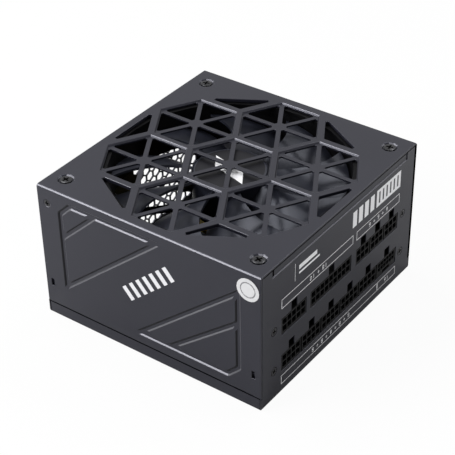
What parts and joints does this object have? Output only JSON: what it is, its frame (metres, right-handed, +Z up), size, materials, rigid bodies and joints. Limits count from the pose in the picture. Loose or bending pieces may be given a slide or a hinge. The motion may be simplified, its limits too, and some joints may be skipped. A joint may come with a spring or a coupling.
{
  "type": "computer_power_supply",
  "caption": "Box-shaped power supply for a desktop computer: folded steel case, large fan under a pressed hexagon grille, cable sockets in front, mains inlet and switch behind.",
  "frame": {"origin": "middle of the underside of the case, on the face that it rests on", "axes": "+X along the width, to the right when the cable sockets face the viewer; +Y from the cable sockets to the mains inlet; +Z up through the fan grille"},
  "size_m": [0.1503, 0.1494, 0.086],
  "materials": {
    "powder_coat": "fine-grained near-black powder coat on sheet steel",
    "black_plastic": "satin black moulding",
    "fan_plastic": "satin dark grey moulding",
    "bright_steel": "plated steel",
    "black_screw": "black-finished steel screw",
    "brass": "plated brass blade",
    "bronze": "sintered bush",
    "enamelled_copper": "enamelled copper winding",
    "aluminium": "plain extruded or drawn aluminium",
    "black_sleeve": "aluminium can in a black shrink sleeve",
    "circuit_board": "glass-fibre board with green solder mask",
    "insulating_film": "clear polyester film",
    "ferrite": "ground ferrite",
    "winding_tape": "tan winding tape",
    "capacitor_case": "moulded yellow case or tape",
    "white_paper": "matt white paper seal"
  },
  "bodies": {
    "case": {"base_shell": "powder_coat", "board_spacer_1": "bright_steel", "board_spacer_2": "bright_steel", "board_spacer_3": "bright_steel", "board_spacer_4": "bright_steel", "bridge_rectifier": "black_plastic", "bulk_capacitor": "black_sleeve", "common_mode_choke": "enamelled_copper", "control_board": "circuit_board", "cover_screw_1": "black_screw", "cover_screw_2": "black_screw", "cover_screw_3": "black_screw", "cover_screw_4": "black_screw", "fan_bearing": "bronze", "fan_frame": "black_plastic", "fan_screw_1": "black_screw", "fan_screw_2": "black_screw", "fan_screw_3": "black_screw", "fan_screw_4": "black_screw", "fan_stator": "enamelled_copper", "filter_capacitor": "capacitor_case", "inlet_pin_1": "brass", "inlet_pin_2": "brass", "inlet_pin_3": "brass", "inlet_socket": "black_plastic", "insulating_sheet": "insulating_film", "main_board": "circuit_board", "modular_board": "circuit_board", "output_capacitor_1": "aluminium", "output_capacitor_2": "aluminium", "output_capacitor_3": "aluminium", "output_capacitor_4": "aluminium", "panel_screw_1": "black_screw", "panel_screw_2": "black_screw", "panel_screw_3": "black_screw", "panel_screw_4": "black_screw", "pfc_choke": "winding_tape", "primary_heatsink": "aluminium", "screw_seal": "white_paper", "secondary_heatsink": "aluminium", "socket_10pin": "black_plastic", "socket_16pin": "black_plastic", "socket_18pin": "black_plastic", "socket_6pin_1": "black_plastic", "socket_6pin_2": "black_plastic", "socket_6pin_3": "black_plastic", "socket_8pin_1": "black_plastic", "socket_8pin_2": "black_plastic", "socket_8pin_3": "black_plastic", "socket_8pin_4": "black_plastic", "socket_8pin_5": "black_plastic", "standby_transformer": "capacitor_case", "switch_housing": "black_plastic", "top_cover": "powder_coat", "transformer_coil": "winding_tape", "transformer_core": "ferrite"},
    "fan": {"fan_rotor": "fan_plastic", "fan_shaft": "bright_steel"},
    "rocker": {"switch_rocker": "black_plastic"}
  },
  "joints": [
    {"name": "fan_spin", "type": "hinge", "parent": "case", "child": "fan", "pos_m": [0, 0, 0.0821], "axis": [0, 0, 1], "continuous": true},
    {"name": "rocker_tilt", "type": "hinge", "parent": "case", "child": "rocker", "pos_m": [-0.02, 0.0714, 0.036], "axis": [1, 0, 0], "range_deg": [0, 20]}
  ]
}
